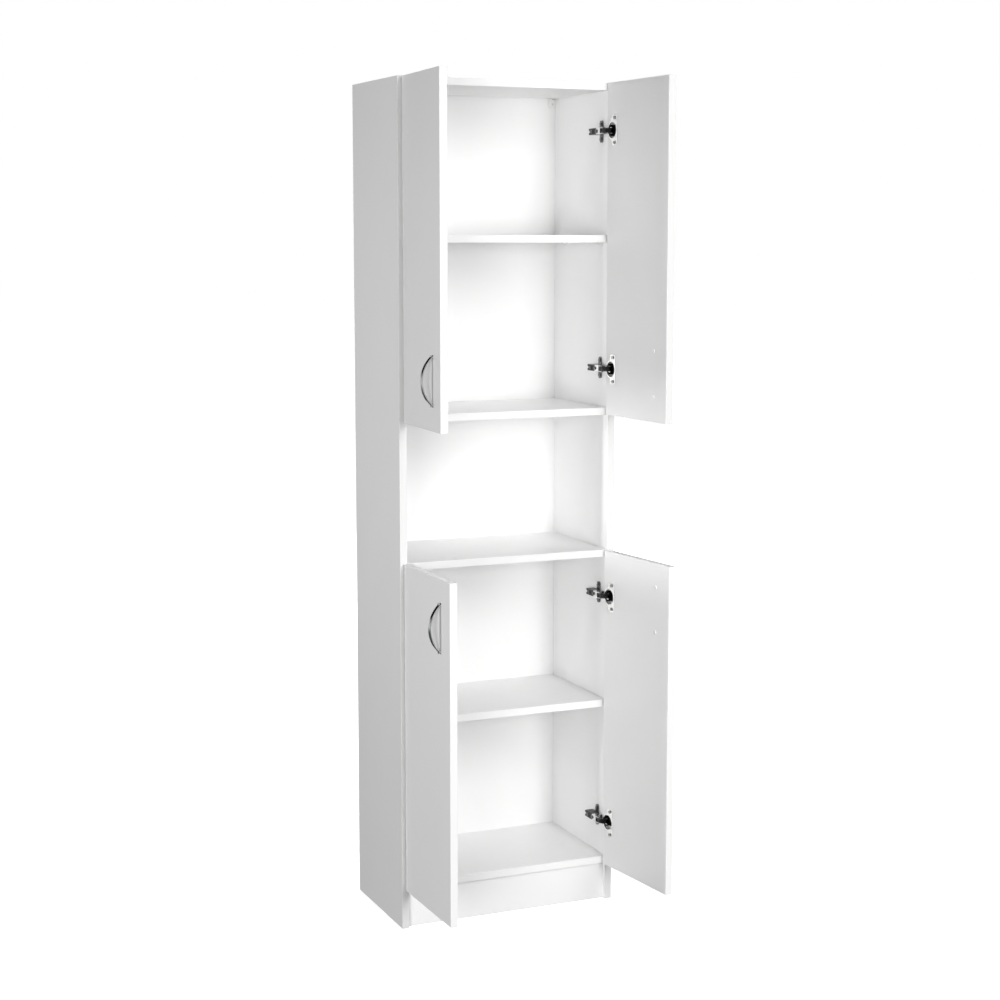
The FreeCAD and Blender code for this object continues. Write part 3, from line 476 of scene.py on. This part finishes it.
def white_lacquer():
    """White enamel over the handle screws' heads, with small chips."""
    made = Finish("white_lacquer")
    where = made.place()
    pool = made.noise(where, 0.004, detail=2.0)
    chip = made.spread(made.noise(where, 0.0007, detail=3.0), 0.0, 0.5, 0.66, 0.74)
    enamel = made.ramp(
        made.spread(pool, 0.0, 1.0),
        (0.0, (0.86, 0.86, 0.855)),
        (1.0, (0.9, 0.9, 0.895)),
    )
    colour = made.blend(chip, enamel, (0.6, 0.6, 0.59))
    gloss = made.spread(pool, 0.28, 0.38)
    return made.wire(Base_Color=colour, Roughness=gloss, Normal=made.bump(pool, 0.00005, 0.3))


for node in ("back_nails", "bracket_screws", "cam_bolts"):
    dress(node, zinc)
for node in ("plate_screws", "arm_screws"):
    dress(node, shade_dark_zinc)
dress("hinge_plates", plate_nickel)
dress("hinge_arms", arm_metal())
dress("arm_pins", pin_steel)
dress("cam_locks", die_cast)

lacquer = white_lacquer()
for door in DOORS:
    dress(f"{door}_handle", chrome)
    dress(f"{door}_handle_screws", lacquer)
    dress(f"{door}_cup_screws", zinc)
    dress(f"{door}_cup_pins", pin_steel)
    dress(f"{door}_hinge_links", link_steel)
    dress(f"{door}_hinge_cups", cup_metal(door))


# Plastic and wood


def moulded_plastic():
    """White plastic of the shelf pins and wall brackets."""
    made = Finish("white_plastic")
    where = made.place()
    skin = made.noise(where, 0.0006, detail=2.0)
    flow = made.noise(where, 0.008, detail=2.0)
    colour = made.ramp(
        made.spread(flow, 0.0, 1.0),
        (0.0, (0.80, 0.80, 0.785)),
        (1.0, (0.85, 0.85, 0.84)),
    )
    gloss = made.spread(flow, 0.38, 0.5)
    return made.wire(Base_Color=colour, Roughness=gloss, Normal=made.bump(skin, 0.00005, 0.4))


def beech():
    """Raw beech of the dowels."""
    made = Finish("raw_beech")
    along = made.place(stretch=(0.08, 1, 1))
    grain = made.noise(along, 0.0012, detail=5.0, roughness=0.6)
    pores = made.noise(along, 0.0005, detail=2.0)
    colour = made.ramp(
        made.spread(grain, 0.0, 1.0),
        (0.0, (0.52, 0.33, 0.18)),
        (0.6, (0.68, 0.48, 0.29)),
        (1.0, (0.76, 0.57, 0.37)),
    )
    gloss = made.spread(pores, 0.55, 0.72)
    return made.wire(Base_Color=colour, Roughness=gloss, Normal=made.bump(pores, 0.0001, 0.6))


plastic = moulded_plastic()
for node in ("shelf_pins", "wall_brackets"):
    dress(node, plastic)
dress("dowels", beech())


# Floor, light and camera


def studio_floor():
    """Pale floor that glows further out, so that it runs into the white background."""
    bpy.ops.mesh.primitive_plane_add(size=FLOOR_SIZE, location=(0, 0, -FLOOR_DROP))
    floor = bpy.context.object
    floor.name = "studio_floor"
    made = Finish("pale_floor")
    where = made.place()
    shade = made.noise(where, 0.8, detail=2.0)
    colour = made.ramp(
        made.spread(shade, 0.0, 1.0),
        (0.0, (0.94, 0.94, 0.94)),
        (1.0, (0.95, 0.95, 0.95)),
    )
    reach = made.add("ShaderNodeVectorMath", operation="LENGTH")
    made.join(where, reach.inputs[0])
    glow = made.spread(reach.outputs["Value"], *FLOOR_GLOW, *FLOOR_FADE, smooth=True)
    pale = made.wire(
        Base_Color=colour,
        Roughness=0.7,
        Specular_IOR_Level=0.1,
        Emission_Color=(1.0, 1.0, 1.0, 1.0),
        Emission_Strength=glow,
    )
    pale.cycles.emission_sampling = "NONE"
    floor.data.materials.append(pale)
    floor.visible_diffuse = False
    floor.visible_glossy = False


def studio_world():
    """A light tent, white paper behind the object, and flags that only polished metal mirrors."""
    world = bpy.data.worlds.new("light_tent")
    world.use_nodes = True
    bpy.context.scene.world = world
    made = world.node_tree.nodes
    join = world.node_tree.links.new

    tent = made["Background"]
    tent.name = "tent"
    tent.inputs["Color"].default_value = (1, 1, 1, 1)
    tent.inputs["Strength"].default_value = TENT_LEVEL
    paper = made.new("ShaderNodeBackground")
    paper.name = "paper"
    paper.inputs["Color"].default_value = (1, 1, 1, 1)

    facing = made.new("ShaderNodeTexCoord")
    apart = made.new("ShaderNodeSeparateXYZ")
    lift = made.new("ShaderNodeMapRange")
    lift.inputs["From Min"].default_value = -1.0
    band = made.new("ShaderNodeValToRGB")
    fill_ramp(band, [((height + 1.0) / 2.0, (level, level, level)) for height, level in FLAGS])
    mirrored = made.new("ShaderNodeBackground")
    mirrored.name = "mirrored"
    join(facing.outputs["Generated"], apart.inputs["Vector"])
    join(apart.outputs["Z"], lift.inputs["Value"])
    join(lift.outputs["Result"], band.inputs["Fac"])
    join(band.outputs["Color"], mirrored.inputs["Color"])

    path = made.new("ShaderNodeLightPath")
    lit = made.new("ShaderNodeMixShader")
    seen = made.new("ShaderNodeMixShader")
    join(path.outputs["Is Glossy Ray"], lit.inputs["Fac"])
    join(tent.outputs["Background"], lit.inputs[1])
    join(mirrored.outputs["Background"], lit.inputs[2])
    join(path.outputs["Is Camera Ray"], seen.inputs["Fac"])
    join(lit.outputs["Shader"], seen.inputs[1])
    join(paper.outputs["Background"], seen.inputs[2])
    join(seen.outputs["Shader"], made["World Output"].inputs["Surface"])


def soft_box(name, place, aim, width, height, watts):
    """A rectangular lamp that polished metal doesn't mirror."""
    bpy.ops.object.light_add(type="AREA", location=place)
    lamp = bpy.context.object
    lamp.name = name
    lamp.data.shape = "RECTANGLE"
    lamp.data.size = width
    lamp.data.size_y = height
    lamp.data.energy = watts
    lamp.visible_glossy = False
    lamp.rotation_euler = (Vector(aim) - Vector(place)).to_track_quat("-Z", "Y").to_euler()


studio_floor()
studio_world()
for box in SOFT_BOXES:
    soft_box(*box)

bpy.ops.object.camera_add(location=VIEWPOINT, rotation=(math.pi / 2 - PITCH, 0, -YAW))
camera = bpy.context.object
camera.name = "photograph_view"
camera.data.sensor_width = SENSOR
camera.data.lens = LENS
camera.data.shift_y = LENS_SHIFT
camera.data.clip_end = SIGHT
bpy.context.scene.camera = camera
bpy.context.scene.view_settings.view_transform = "Standard"
